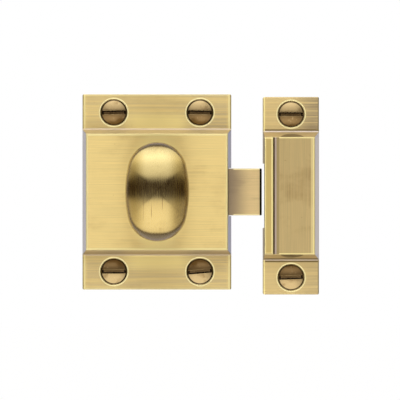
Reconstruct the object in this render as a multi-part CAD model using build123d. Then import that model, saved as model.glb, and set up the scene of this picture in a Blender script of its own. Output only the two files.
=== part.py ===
from build123d import *
import os
from math import cos, hypot, pi, sin, tan

# Cupboard catch latch: a screwed-on case with an oval turn knob and a spring bolt, and its keeper.
# Sizes are in millimetres. Every piece is drawn as seen from the front: x to the right, y up, and
# z out of the mounting surface, which is z = 0. The knob turns about x = y = 0. The finished pieces
# are then turned upright, so that up is +Z and the front faces -Y.

# Both castings
edge_radius = 0.35
foot_radius = 0.8
plan_corner_radius = 0.5
cutter_overrun = 1.0

# Case
case_width = 50.8
case_height = 66.7
case_flange = 3.0
case_depth = 9.5
case_flange_length = 12.0
case_side_slope = 1.5
case_end_slope = 1.8
case_front_wall = 2.4
case_side_wall = 3.4
cavity_corner_radius = 1.0

# Keeper, laid out to the right of the case
keeper_gap = 10.9
keeper_drop = 1.3
keeper_width = 19.05
keeper_height = 67.5
keeper_flange = 3.0
keeper_face_depth = 8.6
keeper_lip_rise = 1.0
keeper_lip_width = 2.9
keeper_cove_radius = 0.6
keeper_flange_length = 11.95
keeper_slope = 2.4
pocket_length = 13.0
pocket_side_gap = 3.05
pocket_front_gap = 0.6
pocket_corner_radius = 1.0

# Wood screws that fix the case and the keeper
case_screw_inset_x = 10.7
case_screw_inset_y = 6.2
keeper_screw_inset = 5.9
screw_head_radius = 4.25
screw_head_rise = 1.1
screw_rim = 0.25
screw_shank_radius = 2.1
screw_length = 19.0
screw_point = 5.0
screw_slot_width = 1.3
screw_slot_depth = 1.1
screw_hole_clearance = 0.2
screw_seat_gap = 0.03
countersink_radius = 4.7
countersink_angle = 82.0

# Back plate and its small countersunk screws
plate_inset = 2.8
plate_lap = 4.8
plate_thickness = 1.2
plate_clearance = 0.1
plate_corner_radius = 1.5
plate_screw_inset_x = 4.1
plate_screw_inset_y = 2.4
plate_screw_head_radius = 1.9
plate_screw_radius = 1.0
plate_screw_length = 4.4
plate_screw_slot_width = 0.5
plate_screw_slot_depth = 0.4
plate_screw_clearance = 0.05
plate_screw_end_gap = 0.6

# Bolt
bolt_nose_height = 15.9
bolt_thickness = 5.5
bolt_reach = 10.2
bolt_travel = 9.0
bolt_frame_height = 28.0
bolt_tail_bar = 3.0
bolt_running_gap = 0.2
bolt_stop_gap = 0.1
bolt_slot_clearance = 0.3
bolt_slot_relief = 0.5
bolt_bevel_run = 5.0
bolt_tip_flat = 1.6
bolt_tip_radius = 0.8
bolt_edge_radius = 0.3
bolt_corner_radius = 1.0

# Spindle, cam and cam screw
journal_radius = 3.2
journal_clearance = 0.05
journal_end_gap = 0.1
square_size = 4.2
square_clearance = 0.05
stud_radius = 2.5
stud_length = 9.0
thread_end_gap = 0.5
cam_hub_radius = 5.0
cam_thickness = 5.1
cam_reach = 9.0
cam_swing = 60.0
cam_tip_radius = 2.0
cam_neck_width = 2.4
cam_finger_thickness = 3.4
cam_hub_clearance = 0.6
notch_clearance = 0.18
notch_floor_gap = 0.3
window_edge_gap = 2.2
cam_screw_head_radius = 3.2
cam_screw_head_height = 1.1
cam_screw_radius = 1.25
cam_screw_length = 5.0
cam_screw_slot_width = 0.7
cam_screw_slot_depth = 0.5
cam_screw_recess = 1.3
cam_screw_clearance = 0.3
washer_thickness = 0.6
washer_radius = 6.2
washer_clearance = 0.1

# Knob
knob_width = 21.0
knob_height = 32.6
knob_end_radius = 9.8
knob_front = 33.0
knob_widest = 24.0
knob_back = 17.0
knob_dome_power = 2.2
knob_back_power = 2.0
knob_sections = 5
neck_base_radius = 5.6
neck_base_height = 0.9
neck_pull_radius = 4.2
neck_top_radius = 6.6

# Spring and its guide pin
spring_wire = 0.4
spring_radius = 2.0
spring_coils = 10
spring_steps_per_coil = 12
spring_wire_sides = 6
pin_radius = 1.0
pin_seat_depth = 1.3
pin_end_gap = 0.6
pin_hole_clearance = 0.15

# Levels above the mounting surface
cavity_top = case_depth - case_front_wall
bolt_back = plate_thickness + bolt_running_gap
bolt_front = bolt_back + bolt_thickness
bolt_middle = (bolt_back + bolt_front) / 2
slot_top = cavity_top + bolt_slot_relief
journal_inner = cavity_top - journal_end_gap
cam_back = journal_inner - cam_thickness
cam_recess_floor = cam_back + cam_screw_recess
neck_base = case_depth + washer_thickness + journal_end_gap
keeper_depth = keeper_face_depth + keeper_lip_rise

# Places seen from the front
cavity_right = case_width / 2 - case_side_wall
cavity_left = -cavity_right
cavity_half_height = bolt_frame_height / 2 + bolt_running_gap
bolt_tip = case_width / 2 + bolt_reach
bolt_shoulder = cavity_right - bolt_stop_gap
window_left = -(cam_hub_radius + cam_hub_clearance)
window_right = bolt_travel + cam_hub_radius + cam_hub_clearance
window_half_height = cam_hub_radius + window_edge_gap
bolt_tail = window_left - bolt_tail_bar
finger_angle = cam_swing / 2 * pi / 180
finger_tip_x = cam_reach * sin(finger_angle)
notch_floor = -(cam_reach + cam_tip_radius + notch_floor_gap)
keeper_left = case_width / 2 + keeper_gap
keeper_x = keeper_left + keeper_width / 2
keeper_y = -keeper_drop
keeper_block_height = keeper_height - 2 * keeper_flange_length
case_block_height = case_height - 2 * case_flange_length
case_screw_x = case_width / 2 - case_screw_inset_x
case_screw_y = case_height / 2 - case_screw_inset_y
keeper_screw_y = keeper_height / 2 - keeper_screw_inset
plate_width = case_width - 2 * plate_inset
plate_height = 2 * (cavity_half_height + plate_lap)
plate_screw_x = plate_width / 2 - plate_screw_inset_x
plate_screw_y = plate_height / 2 - plate_screw_inset_y
pocket_height = bolt_nose_height + 2 * pocket_side_gap
pocket_depth = bolt_front + pocket_front_gap
countersink_slope = tan(countersink_angle / 2 * pi / 180)


def slab(x_low, x_high, y_low, y_high, z_low, z_high):
    """A box given by its limits."""
    box = Box(x_high - x_low, y_high - y_low, z_high - z_low)
    return Pos((x_low + x_high) / 2, (y_low + y_high) / 2, (z_low + z_high) / 2) * box


def rounded_slab(x_low, x_high, y_low, y_high, z_low, z_high, radius):
    """A box whose four edges along z are rounded."""
    face = RectangleRounded(x_high - x_low, y_high - y_low, radius)
    face = Pos((x_low + x_high) / 2, (y_low + y_high) / 2, z_low) * face
    return extrude(face, z_high - z_low)


def rod(x, y, z_low, z_high, radius):
    """A cylinder along z given by its two ends."""
    return Pos(x, y, (z_low + z_high) / 2) * Cylinder(radius, z_high - z_low)


def turned(points):
    """A solid turned about the z axis from its outline, given as radius and height."""
    section = make_face(Polyline(*[(radius, 0, height) for radius, height in points], close=True))
    return revolve(section, Axis.Z)


def outline(points, rounded):
    """A closed outline; rounded gives the radius of some of its corners by their place in points."""
    face = make_face(Polyline(*points, close=True))
    for place, radius in rounded.items():
        corner = face.vertices().sort_by_distance(points[place] + (0,))[0]
        face = fillet(corner, radius)
    return face


def along_x(face, half):
    """An outline in y and z drawn out along x, to both sides of the middle."""
    return extrude(Plane.YZ.offset(-half) * face, 2 * half)


def along_y(face, half):
    """An outline in x and z drawn out along y, to both sides of the middle."""
    return extrude(Plane.XZ.offset(-half) * face, 2 * half)


def flange_plate(width, height, thickness):
    """The flat plate under a casting's block, with its front edges eased."""
    face = RectangleRounded(width, height, plan_corner_radius)
    plate = extrude(face, thickness)
    return fillet(plate.edges().group_by(Axis.Z)[-1], edge_radius)


def end_outline(flange, depth, block_height, slope):
    """The block seen from the side: sloped ends that meet the flanges in a cove."""
    foot = block_height / 2
    reach = foot + foot_radius
    top = foot - slope
    points = [(-reach, 0), (reach, 0), (reach, flange), (foot, flange), (top, depth),
              (-top, depth), (-foot, flange), (-reach, flange)]
    return outline(points, {3: foot_radius, 6: foot_radius})


def eased(block):
    """The block with the edges round its highest face rounded."""
    return fillet(block.edges().group_by(Axis.Z)[-1], edge_radius)


def countersunk_hole(x, y, flange):
    """The cutter for a wood screw's hole and its countersink."""
    hole = screw_shank_radius + screw_hole_clearance
    depth = (countersink_radius - hole) / countersink_slope
    top = flange + cutter_overrun
    cutter = turned([(0, -cutter_overrun), (hole, -cutter_overrun), (hole, flange - depth),
                     (countersink_radius, flange), (countersink_radius, top), (0, top)])
    return Pos(x, y, 0) * cutter


def case_screw_places():
    """The four wood screws of the case."""
    return [(-case_screw_x, case_screw_y), (case_screw_x, case_screw_y),
            (-case_screw_x, -case_screw_y), (case_screw_x, -case_screw_y)]


def keeper_screw_places():
    """The two wood screws of the keeper."""
    return [(keeper_x, keeper_y + keeper_screw_y), (keeper_x, keeper_y - keeper_screw_y)]


def plate_screw_places():
    """The four small screws of the back plate."""
    return [(-plate_screw_x, plate_screw_y), (plate_screw_x, plate_screw_y),
            (-plate_screw_x, -plate_screw_y), (plate_screw_x, -plate_screw_y)]


def make_case():
    """The casting: flange plate and raised block, hollow for the bolt and open at the back."""
    half_w = case_width / 2
    above = case_depth + cutter_overrun
    above_x = half_w - case_side_slope * (above - case_flange) / (case_depth - case_flange)
    across = outline([(-half_w, 0), (half_w, 0), (half_w, case_flange), (above_x, above),
                      (-above_x, above), (-half_w, case_flange)], {})
    ends = end_outline(case_flange, case_depth, case_block_height, case_end_slope)
    block = along_x(ends, half_w) & along_y(across, case_height / 2)
    case = flange_plate(case_width, case_height, case_flange) + eased(block)

    # Room for the bolt, the slot for its nose, and the recess for the back plate
    case -= rounded_slab(cavity_left, cavity_right, -cavity_half_height, cavity_half_height,
                         -cutter_overrun, cavity_top, cavity_corner_radius)
    slot_half = bolt_nose_height / 2 + bolt_slot_clearance
    case -= slab(cavity_right - cavity_corner_radius, half_w + cutter_overrun, -slot_half, slot_half,
                 -cutter_overrun, slot_top)
    recess_x = plate_width / 2 + plate_clearance
    recess_y = plate_height / 2 + plate_clearance
    case -= rounded_slab(-recess_x, recess_x, -recess_y, recess_y, -cutter_overrun,
                         plate_thickness, plate_corner_radius + plate_clearance)

    # Bore for the spindle, seat for the guide pin, and the screw holes
    case -= rod(0, 0, 0, case_depth + cutter_overrun, journal_radius + journal_clearance)
    pin_seat = Rot(0, 90, 0) * Cylinder(pin_radius, pin_seat_depth + cutter_overrun)
    pin_seat_x = cavity_left + (cutter_overrun - pin_seat_depth) / 2
    case -= Pos(pin_seat_x, 0, bolt_middle) * pin_seat
    for x, y in case_screw_places():
        case -= countersunk_hole(x, y, case_flange)
    for x, y in plate_screw_places():
        case -= rod(x, y, 0, plate_screw_length + plate_screw_end_gap,
                    plate_screw_radius + plate_screw_clearance)
    return case


def make_back_plate():
    """The flush plate that closes the case's back."""
    plate = rounded_slab(-plate_width / 2, plate_width / 2, -plate_height / 2, plate_height / 2,
                         0, plate_thickness, plate_corner_radius)
    hole = plate_screw_radius + plate_screw_clearance
    mouth = plate_screw_head_radius + plate_screw_clearance
    top = plate_thickness + cutter_overrun
    cutter = turned([(0, -cutter_overrun), (mouth, -cutter_overrun), (mouth, 0),
                     (hole, mouth - hole), (hole, top), (0, top)])
    for x, y in plate_screw_places():
        plate -= Pos(x, y, 0) * cutter
    return plate


def make_plate_screw(x, y):
    """A small slotted countersunk screw, driven in from the back."""
    cone = plate_screw_head_radius - plate_screw_radius
    screw = turned([(0, 0), (plate_screw_head_radius, 0), (plate_screw_radius, cone),
                    (plate_screw_radius, plate_screw_length), (0, plate_screw_length)])
    reach = plate_screw_head_radius + cutter_overrun
    half = plate_screw_slot_width / 2
    screw -= slab(-reach, reach, -half, half, -cutter_overrun, plate_screw_slot_depth)
    return Pos(x, y, 0) * screw


def make_wood_screw(x, y, flange):
    """A raised countersunk slotted wood screw, seated in its countersink."""
    sunk = (countersink_radius - screw_head_radius) / countersink_slope
    cone_top = flange - sunk + screw_seat_gap
    rim_level = cone_top + screw_rim
    cone_foot = cone_top - (screw_head_radius - screw_shank_radius) / countersink_slope
    tip = rim_level - screw_length
    dome_top = rim_level + screw_head_rise
    half_chord = screw_head_radius / 2
    dome_radius = (screw_head_radius ** 2 + screw_head_rise ** 2) / (2 * screw_head_rise)
    drop = dome_radius - (dome_radius ** 2 - half_chord ** 2) ** 0.5
    dome = ThreePointArc((screw_head_radius, 0, rim_level), (half_chord, 0, dome_top - drop),
                         (0, 0, dome_top))
    side = Polyline((0, 0, dome_top), (0, 0, tip), (screw_shank_radius, 0, tip + screw_point),
                    (screw_shank_radius, 0, cone_foot), (screw_head_radius, 0, cone_top),
                    (screw_head_radius, 0, rim_level))
    screw = revolve(make_face(dome + side), Axis.Z)
    reach = screw_head_radius + cutter_overrun
    half = screw_slot_width / 2
    screw -= slab(-reach, reach, -half, half, dome_top - screw_slot_depth,
                  dome_top + cutter_overrun)
    return Pos(x, y, 0) * screw


def make_bolt():
    """The bolt: bevelled nose, shoulders, and a frame round the cam with a notch for its finger."""
    nose_half = bolt_nose_height / 2
    frame_half = bolt_frame_height / 2
    frame = rounded_slab(bolt_tail, bolt_shoulder, -frame_half, frame_half, bolt_back, bolt_front,
                         bolt_corner_radius)
    tip_level = bolt_front - bolt_tip_flat
    side = Polyline((window_right, bolt_back), (bolt_tip - bolt_bevel_run, bolt_back),
                    (bolt_tip, tip_level), (bolt_tip, bolt_front), (window_right, bolt_front),
                    close=True)
    nose = extrude(Plane.XZ.offset(-nose_half) * make_face(side), 2 * nose_half)
    nose = fillet(nose.edges().filter_by(Axis.Y).group_by(Axis.Z)[-1].sort_by(Axis.X)[-1:],
                  bolt_tip_radius)
    nose = fillet(nose.edges().filter_by(Axis.X).group_by(Axis.Z)[-1], bolt_edge_radius)
    bolt = frame + nose
    below = bolt_back - cutter_overrun
    above = bolt_front + cutter_overrun
    bolt -= rounded_slab(window_left, window_right, -window_half_height, window_half_height,
                         below, above, bolt_corner_radius)
    notch_half = cam_tip_radius + notch_clearance
    bolt -= slab(finger_tip_x - notch_half, finger_tip_x + notch_half, notch_floor, 0, below, above)
    pin_hole = Rot(0, 90, 0) * Cylinder(pin_radius + pin_hole_clearance,
                                        bolt_tail_bar + 2 * cutter_overrun)
    bolt -= Pos(bolt_tail + bolt_tail_bar / 2, 0, bolt_middle) * pin_hole
    return bolt


def make_cam():
    """The cam: a hub with one round-ended finger, a square hole and a recess for the screw's head."""
    hub = rod(0, 0, cam_back, journal_inner, cam_hub_radius)
    finger_low = bolt_middle - cam_finger_thickness / 2
    finger_high = bolt_middle + cam_finger_thickness / 2
    finger = slab(-cam_neck_width / 2, cam_neck_width / 2, -cam_reach, 0, finger_low, finger_high)
    finger += rod(0, -cam_reach, finger_low, finger_high, cam_tip_radius)
    cam = hub + Rot(0, 0, cam_swing / 2) * finger
    half = square_size / 2 + square_clearance
    below = cam_back - cutter_overrun
    cam -= slab(-half, half, -half, half, below, journal_inner + cutter_overrun)
    cam -= rod(0, 0, below, cam_recess_floor, cam_screw_head_radius + cam_screw_clearance)
    return cam


def make_spindle():
    """The spindle: square inner end, journal in the case's front wall, and stud in the knob."""
    half = square_size / 2
    square_end = cam_recess_floor + journal_end_gap
    spindle = rod(0, 0, journal_inner, neck_base, journal_radius)
    spindle += slab(-half, half, -half, half, square_end, neck_base)
    spindle += rod(0, 0, neck_base, neck_base + stud_length, stud_radius)
    hole_end = cam_recess_floor + cam_screw_length + thread_end_gap
    spindle -= rod(0, 0, square_end - cutter_overrun, hole_end, cam_screw_radius)
    return spindle


def make_cam_screw():
    """The cheese-head screw that clamps the cam against the journal's end."""
    head_top = cam_recess_floor - cam_screw_head_height
    screw = rod(0, 0, head_top, cam_recess_floor, cam_screw_head_radius)
    screw += rod(0, 0, cam_recess_floor, cam_recess_floor + cam_screw_length, cam_screw_radius)
    reach = cam_screw_head_radius + cutter_overrun
    half = cam_screw_slot_width / 2
    screw -= slab(-reach, reach, -half, half, head_top - cutter_overrun,
                  head_top + cam_screw_slot_depth)
    return screw


def make_washer():
    """The thin washer between the case's face and the knob's neck."""
    washer = rod(0, 0, case_depth, case_depth + washer_thickness, washer_radius)
    washer -= rod(0, 0, case_depth - cutter_overrun, neck_base, journal_radius + washer_clearance)
    return washer


def oval(scale, level):
    """The knob's oval outline: two long side arcs that run smoothly into two end arcs."""
    half_w = knob_width / 2 * scale
    half_h = knob_height / 2 * scale
    end = knob_end_radius * scale
    side = ((half_h - end) ** 2 / (half_w - end) + end + half_w) / 2
    centre_x = side - half_w
    centre_y = half_h - end
    span = hypot(centre_x, centre_y)
    join_x = side * centre_x / span - centre_x
    join_y = side * centre_y / span
    right = ThreePointArc((join_x, -join_y, level), (half_w, 0, level), (join_x, join_y, level))
    top = ThreePointArc((join_x, join_y, level), (0, half_h, level), (-join_x, join_y, level))
    left = ThreePointArc((-join_x, join_y, level), (-half_w, 0, level), (-join_x, -join_y, level))
    bottom = ThreePointArc((-join_x, -join_y, level), (0, -half_h, level), (join_x, -join_y, level))
    return make_face(right + top + left + bottom)


def make_knob():
    """The oval knob: a domed head on a waisted round neck, bored for the spindle's stud."""
    sections = [Vertex(0, 0, knob_back)]
    for step in range(1 - knob_sections, knob_sections):
        angle = step / knob_sections * pi / 2
        depth = knob_front - knob_widest if step > 0 else knob_widest - knob_back
        power = knob_dome_power if step > 0 else knob_back_power
        rise = abs(sin(angle)) ** (2 / power) * depth
        level = knob_widest + rise if step > 0 else knob_widest - rise
        sections.append(oval(cos(angle) ** (2 / power), level))
    sections.append(Vertex(0, 0, knob_front))
    head = loft(sections)
    flare_end = (knob_back + knob_widest) / 2
    collar_top = neck_base + neck_base_height
    third = (flare_end - collar_top) / 3
    flank = Bezier((neck_base_radius, 0, collar_top), (neck_pull_radius, 0, collar_top + third),
                   (neck_pull_radius, 0, flare_end - third), (neck_top_radius, 0, flare_end))
    core = Polyline((neck_top_radius, 0, flare_end), (0, 0, flare_end), (0, 0, neck_base),
                    (neck_base_radius, 0, neck_base), (neck_base_radius, 0, collar_top))
    knob = head + revolve(make_face(flank + core), Axis.Z)
    knob -= rod(0, 0, neck_base - cutter_overrun, neck_base + stud_length + thread_end_gap,
                stud_radius)
    return knob


def make_guide_pin():
    """The pin seated in the case's side wall, through the spring and into the bolt's tail."""
    start = cavity_left - pin_seat_depth
    end = window_left - pin_end_gap
    pin = Rot(0, 90, 0) * Cylinder(pin_radius, end - start)
    return Pos((start + end) / 2, 0, bolt_middle) * pin


def make_spring():
    """The compression spring between the case's side wall and the bolt's tail."""
    length = bolt_tail - cavity_left - spring_wire
    steps = spring_coils * spring_steps_per_coil
    turns = [(step / spring_steps_per_coil * 2 * pi, step / steps) for step in range(steps + 1)]
    path = Polyline(*[(spring_radius * cos(angle), spring_radius * sin(angle), length * share)
                      for angle, share in turns])
    section = Plane(origin=path @ 0, z_dir=path % 0) * RegularPolygon(spring_wire / 2,
                                                                      spring_wire_sides)
    wire = sweep(section, path=path, transition=Transition.RIGHT)
    return Pos(cavity_left + spring_wire / 2, 0, bolt_middle) * Rot(0, 90, 0) * wire


def make_keeper():
    """The keeper casting: flange plate, block sloped on three sides, raised lip and bolt pocket."""
    half_w = keeper_width / 2
    face_edge = half_w - keeper_slope * (keeper_face_depth - keeper_flange) / (
        keeper_depth - keeper_flange)
    lip_edge = -half_w + keeper_lip_width
    above = keeper_depth + cutter_overrun
    across = outline([(-half_w, 0), (half_w, 0), (half_w, keeper_flange),
                      (face_edge, keeper_face_depth), (lip_edge, keeper_face_depth),
                      (lip_edge, above), (-half_w, above)],
                     {3: edge_radius, 4: keeper_cove_radius})
    ends = end_outline(keeper_flange, keeper_depth, keeper_block_height, keeper_slope)
    block = along_x(ends, half_w) & along_y(across, keeper_height / 2)
    keeper = flange_plate(keeper_width, keeper_height, keeper_flange) + eased(block)

    # Pocket for the bolt, open at the left side and at the back
    keeper -= rounded_slab(-half_w - 2 * pocket_corner_radius, -half_w + pocket_length,
                           -pocket_height / 2, pocket_height / 2, -cutter_overrun, pocket_depth,
                           pocket_corner_radius)
    for x, y in keeper_screw_places():
        keeper -= countersunk_hole(x - keeper_x, y - keeper_y, keeper_flange)
    return Pos(keeper_x, keeper_y, 0) * keeper


def make_pieces():
    """Every piece of the latch by its name."""
    pieces = {
        "case": make_case(),
        "back_plate": make_back_plate(),
        "knob": make_knob(),
        "spindle": make_spindle(),
        "spindle_washer": make_washer(),
        "cam": make_cam(),
        "cam_screw": make_cam_screw(),
        "bolt": make_bolt(),
        "bolt_spring": make_spring(),
        "spring_guide_pin": make_guide_pin(),
        "keeper": make_keeper(),
    }
    for number, (x, y) in enumerate(plate_screw_places(), 1):
        pieces[f"back_plate_screw_{number}"] = make_plate_screw(x, y)
    for number, (x, y) in enumerate(case_screw_places(), 1):
        pieces[f"case_screw_{number}"] = make_wood_screw(x, y, case_flange)
    for number, (x, y) in enumerate(keeper_screw_places(), 1):
        pieces[f"keeper_screw_{number}"] = make_wood_screw(x, y, keeper_flange)
    return pieces


os.makedirs("parts", exist_ok=True)
for name, piece in make_pieces().items():
    export_step(Plane.XZ * piece, f"parts/{name}.step")
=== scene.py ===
"""Cupboard catch latch in antique brass, dressed for rendering.

Lengths are in metres: x to the right, z up, and -y out of the front, towards the camera.
"""

from math import atan2, cos, pi, radians, sin, sqrt, tau

import bmesh
import bpy
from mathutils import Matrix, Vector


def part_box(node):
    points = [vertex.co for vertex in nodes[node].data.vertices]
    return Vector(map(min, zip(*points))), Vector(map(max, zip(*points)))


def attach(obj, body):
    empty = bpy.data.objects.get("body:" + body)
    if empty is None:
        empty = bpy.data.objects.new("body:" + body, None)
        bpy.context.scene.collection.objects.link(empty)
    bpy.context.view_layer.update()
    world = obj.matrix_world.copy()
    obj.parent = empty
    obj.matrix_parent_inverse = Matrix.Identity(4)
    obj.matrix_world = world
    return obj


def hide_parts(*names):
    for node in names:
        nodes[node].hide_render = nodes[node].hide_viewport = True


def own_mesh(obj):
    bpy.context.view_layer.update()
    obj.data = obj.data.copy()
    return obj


MM = 0.001

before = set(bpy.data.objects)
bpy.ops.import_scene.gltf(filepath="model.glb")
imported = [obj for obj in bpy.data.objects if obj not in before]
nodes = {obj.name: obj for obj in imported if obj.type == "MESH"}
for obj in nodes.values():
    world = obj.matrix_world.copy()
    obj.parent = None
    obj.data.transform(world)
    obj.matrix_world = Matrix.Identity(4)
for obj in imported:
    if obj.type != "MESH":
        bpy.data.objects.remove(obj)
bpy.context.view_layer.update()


def colour(red, green, blue):
    return (red, green, blue, 1.0)


class Shader:
    """The node tree of a material or a world, built up by short calls."""

    def __init__(self, owner):
        owner.use_nodes = True
        self.owner = owner
        self.tree = owner.node_tree
        self.tree.nodes.clear()

    def add(self, kind, sockets=(), **settings):
        """A new node. A socket's value is a plain value, or another node's output to link."""
        node = self.tree.nodes.new(kind)
        for name, value in settings.items():
            setattr(node, name, value)
        for name, value in dict(sockets).items():
            if isinstance(value, bpy.types.NodeSocket):
                self.tree.links.new(value, node.inputs[name])
            else:
                node.inputs[name].default_value = value
        return node

    def math(self, operation, first, second=0.0, third=0.0, clamp=False):
        return self.add("ShaderNodeMath", {0: first, 1: second, 2: third}, operation=operation,
                        use_clamp=clamp).outputs[0]

    def vector_math(self, operation, first, second=(0.0, 0.0, 0.0)):
        node = self.add("ShaderNodeVectorMath", {0: first, 1: second}, operation=operation)
        return node.outputs["Value" if operation in ("DOT_PRODUCT", "LENGTH") else "Vector"]

    def step(self, value, low, high, out_low=0.0, out_high=1.0):
        """A smooth step from out_low to out_high as value goes from low to high."""
        return self.add("ShaderNodeMapRange", {"Value": value, "From Min": low, "From Max": high,
                                               "To Min": out_low, "To Max": out_high},
                        interpolation_type="SMOOTHSTEP").outputs["Result"]

    def mix(self, factor, first, second, blend="MIX"):
        node = self.add("ShaderNodeMix", {0: factor, 6: first, 7: second}, data_type="RGBA",
                        blend_type=blend, clamp_factor=True)
        return node.outputs[2]

    def paint(self, tone, mask, over, share=1.0):
        """The tone with another over it where the mask is 1, as thick as the share."""
        if share < 1.0:
            mask = self.math("MULTIPLY", mask, share)
        return self.mix(mask, tone, over)

    def grey(self, value):
        return self.add("ShaderNodeCombineXYZ", {0: value, 1: value, 2: value}).outputs[0]

    def place(self):
        """The point's place in its own body's frame."""
        return self.add("ShaderNodeTexCoord").outputs["Object"]

    def split(self, vector):
        return self.add("ShaderNodeSeparateXYZ", {0: vector}).outputs

    def from_y_axis(self, place, scale=(1.0, 0.0, 1.0)):
        """How far a place is from the y axis, with a scale for x and z if one is given."""
        return self.vector_math("LENGTH", self.vector_math("MULTIPLY", place, scale))

    def noise(self, scale, detail=3.0, roughness=0.55, place=None):
        """Noise with a scale for each axis, in cycles to the metre."""
        stretched = self.vector_math("MULTIPLY", place or self.place(), scale)
        return self.add("ShaderNodeTexNoise", {"Vector": stretched, "Scale": 1.0, "Detail": detail,
                                               "Roughness": roughness}).outputs["Fac"]

    def shelter(self, reach, samples=6):
        """How open the point is, from 0 in a deep corner to 1 in the open."""
        return self.add("ShaderNodeAmbientOcclusion", {"Distance": reach},
                        samples=samples).outputs["AO"]

    def edges(self, radius, samples=6):
        """The normal as if edges were rounded, and a mask that is 1 on those edges."""
        rounded = self.add("ShaderNodeBevel", {"Radius": radius}, samples=samples).outputs[0]
        plain = self.add("ShaderNodeNewGeometry").outputs["Normal"]
        likeness = self.vector_math("DOT_PRODUCT", rounded, plain)
        return rounded, self.step(likeness, 0.90, 0.992, 1.0, 0.0)

    def body_direction(self, direction):
        """A direction fixed in the body, so that it turns with the piece."""
        return self.add("ShaderNodeVectorTransform", {"Vector": direction}, vector_type="VECTOR",
                        convert_from="OBJECT", convert_to="WORLD").outputs[0]

    def bump(self, height, normal, strength, distance):
        return self.add("ShaderNodeBump", {"Strength": strength, "Distance": distance,
                                           "Height": height, "Normal": normal}).outputs[0]

    def stripe(self, value, low, high, soft=0.07 * MM):
        """1 where value lies between low and high, with soft sides."""
        return self.math("MULTIPLY", self.step(value, low - soft, low + soft),
                         self.step(value, high - soft, high + soft, 1.0, 0.0))

    def both(self, *masks):
        result = masks[0]
        for mask in masks[1:]:
            result = self.math("MULTIPLY", result, mask)
        return result

    def either(self, *masks):
        result = masks[0]
        for mask in masks[1:]:
            result = self.math("MAXIMUM", result, mask)
        return result

    def size_of(self, value):
        """The value without its sign."""
        return self.math("ABSOLUTE", value)

    def sideways(self):
        """How far the surface faces to the right, from -1 to 1."""
        return self.split(self.add("ShaderNodeNewGeometry").outputs["Normal"])[0]

    def surface(self, shader):
        output = self.add("ShaderNodeOutputMaterial")
        self.tree.links.new(shader, output.inputs["Surface"])
        return self.owner

    def metal(self, sockets):
        return self.surface(self.add("ShaderNodeBsdfPrincipled",
                                     {"Metallic": 1.0, **sockets}).outputs[0])


def new_piece(name, points, faces, material, smooth=True):
    mesh = bpy.data.meshes.new(name)
    mesh.from_pydata(points, [], faces)
    mesh.materials.append(material)
    mesh.polygons.foreach_set("use_smooth", [smooth] * len(mesh.polygons))
    mesh.update()
    piece = bpy.data.objects.new(name, mesh)
    bpy.context.scene.collection.objects.link(piece)
    return piece


def dress(names, material):
    for name in names:
        nodes[name].data.materials.clear()
        nodes[name].data.materials.append(material)


def numbered(stem, count):
    return [f"{stem}_{number}" for number in range(1, count + 1)]


def middle(name):
    low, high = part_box(name)
    return (low + high) / 2


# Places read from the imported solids
case_screws = numbered("case_screw", 4)
keeper_screws = numbered("keeper_screw", 2)
case_low, case_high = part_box("case")
keeper_low, keeper_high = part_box("keeper")
keeper_middle = middle("keeper")
bolt_low, bolt_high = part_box("bolt")

# Sizes of the castings that their boxes don't give. A slope is how far it runs in from the foot:
# less at the keeper's face than at its lip, which stands higher.
case_flange_length = 12.0 * MM
case_side_slope = 1.5 * MM
case_end_slope = 1.8 * MM
keeper_flange_length = 11.95 * MM
keeper_face_slope = 2.04 * MM
keeper_lip_slope = 2.4 * MM
keeper_lip_width = 2.9 * MM
countersink_radius = 4.72 * MM
flange_front = -3.0 * MM

# Half heights of the castings' blocks at the foot, and the edges of their faces
case_block_half = (case_high.z - case_low.z) / 2 - case_flange_length
keeper_block_half = (keeper_high.z - keeper_low.z) / 2 - keeper_flange_length
case_face_x = case_high.x - case_side_slope
case_face_z = case_block_half - case_end_slope
keeper_face_x = keeper_high.x - keeper_face_slope
keeper_lip_x = keeper_low.x + keeper_lip_width
keeper_face_z = keeper_block_half - keeper_face_slope
keeper_lip_z = keeper_block_half - keeper_lip_slope

# Wood screws: a raised countersunk head with a slot, a plain shank, and a thread to the point. Each
# is drawn about the y axis, with y = 0 at the mounting surface. The tilts of their slots are in
# degrees, in the order of case_screws and keeper_screws.
head_radius = 4.25 * MM
shank_radius = 2.1 * MM
cone_foot = 0.039 * MM
cone_top = -2.512 * MM
rim_front = -2.762 * MM
dome_front = -3.862 * MM
slot_floor = -2.25 * MM
slot_half = 0.65 * MM
thread_start = 5.2 * MM
screw_tip = 16.2 * MM
thread_pitch = 2.1 * MM
thread_core = 1.35 * MM
slot_tilts = (-1.0, 1.5, -0.5, -5.0, 0.5, -2.0)

# Brass: clean metal, its brown patina, where it is rubbed bright and given painted highlights, and
# painted dark lines of shade and dirt on both castings
CLEAN = colour(0.85, 0.69, 0.32)
BROWNED = colour(0.40, 0.26, 0.11)
RUBBED_AND_HIGHLIGHT = colour(1.0, 0.92, 0.54)
EDGE_SHADE_OLIVE = colour(0.30, 0.23, 0.09)
# Dark colour for dirt, and for painted shadow in corners, slots and along fillets
DIRT_AND_SHADE = colour(0.10, 0.06, 0.035)

# The case: its flanges, painted light on its face round the knob, painted shade on its end slopes,
# painted reflections on their fillets, and a painted reflection and painted shade on its sides
FLANGE_WORN = colour(0.50, 0.41, 0.27)
FLANGE_POLISHED = colour(1.0, 0.86, 0.40)
FACE_PAINTED_LIGHT = colour(1.0, 0.875, 0.44)
SLOPE_UPPER_SHADE = colour(0.46, 0.36, 0.21)
SLOPE_LOWER_SHADE = colour(0.51, 0.40, 0.235)
SLOPE_FOOT_SHADE = colour(0.37, 0.285, 0.155)
CASE_FILLET_REFLECTION = colour(0.74, 0.63, 0.50)
SIDE_LEFT_REFLECTION = colour(0.83, 0.75, 0.42)
SIDE_RIGHT_SHADE = colour(0.30, 0.265, 0.20)
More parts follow.
